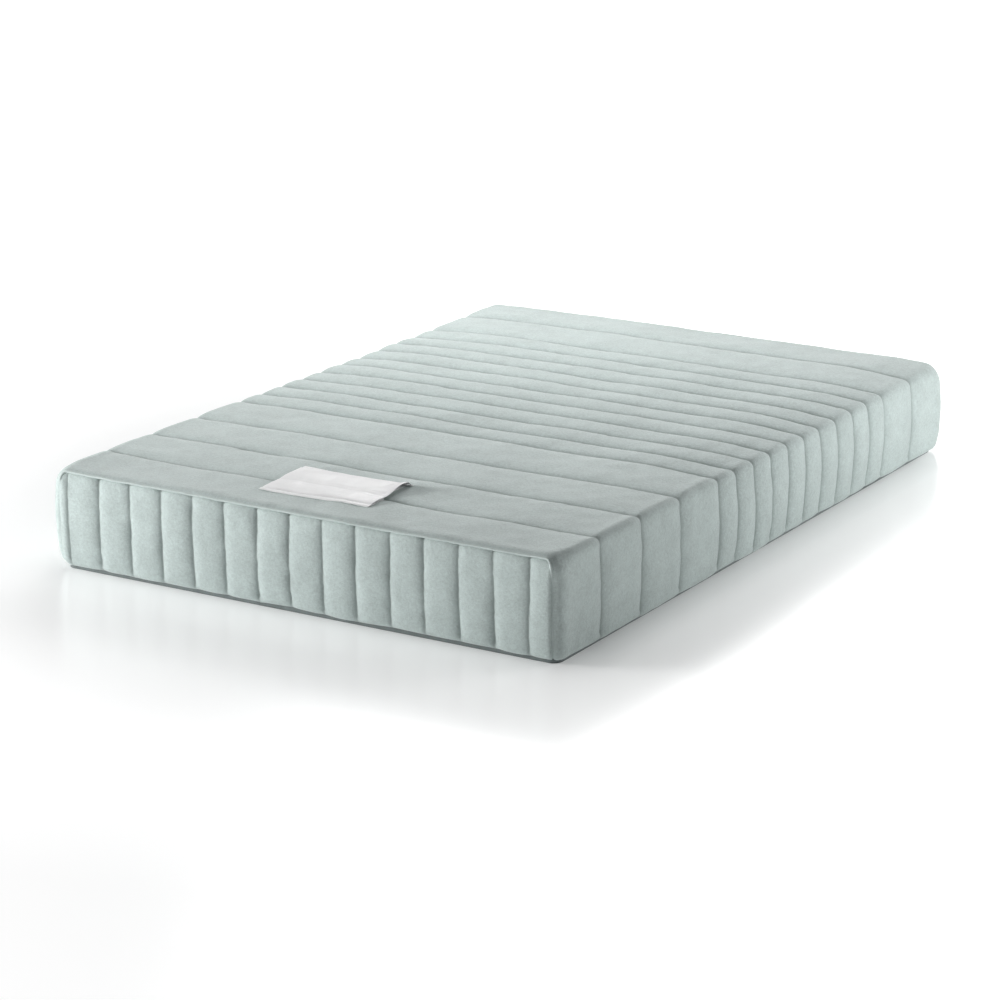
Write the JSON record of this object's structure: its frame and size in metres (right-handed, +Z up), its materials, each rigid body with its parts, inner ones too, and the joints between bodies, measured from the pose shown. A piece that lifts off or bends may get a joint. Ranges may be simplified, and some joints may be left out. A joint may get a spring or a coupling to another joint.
{
  "type": "pressure relief mattress",
  "caption": "Double-size foam pressure relief mattress in a quilted, piped, zip-off cover with a blank sewn label near the foot end.",
  "frame": {"origin": "middle of the underside, on the floor or bed base it lies on", "axes": "+X across the width, +Y from the foot end (where the label is) to the head end, +Z up out of the sleeping surface"},
  "size_m": [1.35, 1.9, 0.2445],
  "materials": {
    "quilt_face": "short-pile sage grey velour, quilted",
    "wadding": "white polyester wadding",
    "backing": "thin white non-woven quilt backing",
    "quilt_thread": "polyester quilting thread, tone on tone",
    "piping": "flat woven piping tape, lighter than the velour",
    "piping_cord": "white braided filler cord",
    "base_fabric": "plain dark grey non-slip base fabric",
    "liner": "white stretch knit",
    "support_foam": "open-cell polyurethane foam, off-white",
    "transition_foam": "open-cell polyurethane foam, pale blue",
    "memory_foam": "viscoelastic foam, cream",
    "zip_tape": "woven zip tape, dark grey",
    "zip_coil": "nylon coil teeth, dark grey",
    "zip_metal": "plated zinc alloy",
    "label_satin": "blank white satin",
    "label_thread": "white sewing thread"
  },
  "bodies": {
    "cover": {"top_panel_face": "quilt_face", "foot_border_face": "quilt_face", "head_border_face": "quilt_face", "top_panel_wadding": "wadding", "foot_border_wadding": "wadding", "head_border_wadding": "wadding", "top_panel_backing": "backing", "foot_border_backing": "backing", "head_border_backing": "backing", "top_panel_thread": "quilt_thread", "foot_border_thread": "quilt_thread", "head_border_thread": "quilt_thread", "foot_piping_cover": "piping", "head_piping_cover": "piping", "foot_piping_cord": "piping_cord", "head_piping_cord": "piping_cord", "base_panel": "base_fabric", "base_band": "base_fabric", "liner_sleeve": "liner", "liner_foot_cap": "liner", "liner_head_cap": "liner", "support_foam_core": "support_foam", "transition_foam_layer": "transition_foam", "memory_foam_layer": "memory_foam", "zip_teeth_upper": "zip_coil", "zip_teeth_lower": "zip_coil", "zip_tape_upper": "zip_tape", "zip_tape_lower": "zip_tape", "zip_end_stops": "zip_metal", "label_back": "label_satin", "label_front": "label_satin", "label_thread": "label_thread"},
    "slider_left": {"zip_slider_left": "zip_metal"},
    "pull_left": {"zip_pull_left": "zip_metal"},
    "slider_right": {"zip_slider_right": "zip_metal"},
    "pull_right": {"zip_pull_right": "zip_metal"}
  },
  "joints": [
    {"name": "zip_slide_left", "type": "slide", "parent": "cover", "child": "slider_left", "axis": [-1, 0, 0], "range_m": [0, 0.6]},
    {"name": "zip_slide_right", "type": "slide", "parent": "cover", "child": "slider_right", "axis": [1, 0, 0], "range_m": [0, 0.6]},
    {"name": "pull_hinge_left", "type": "hinge", "parent": "slider_left", "child": "pull_left", "pos_m": [-0.012, 0.941, 0.007], "axis": [0, 0, -1], "range_deg": [0, 115]},
    {"name": "pull_hinge_right", "type": "hinge", "parent": "slider_right", "child": "pull_right", "pos_m": [0.012, 0.941, 0.007], "axis": [0, 0, 1], "range_deg": [0, 115]}
  ]
}
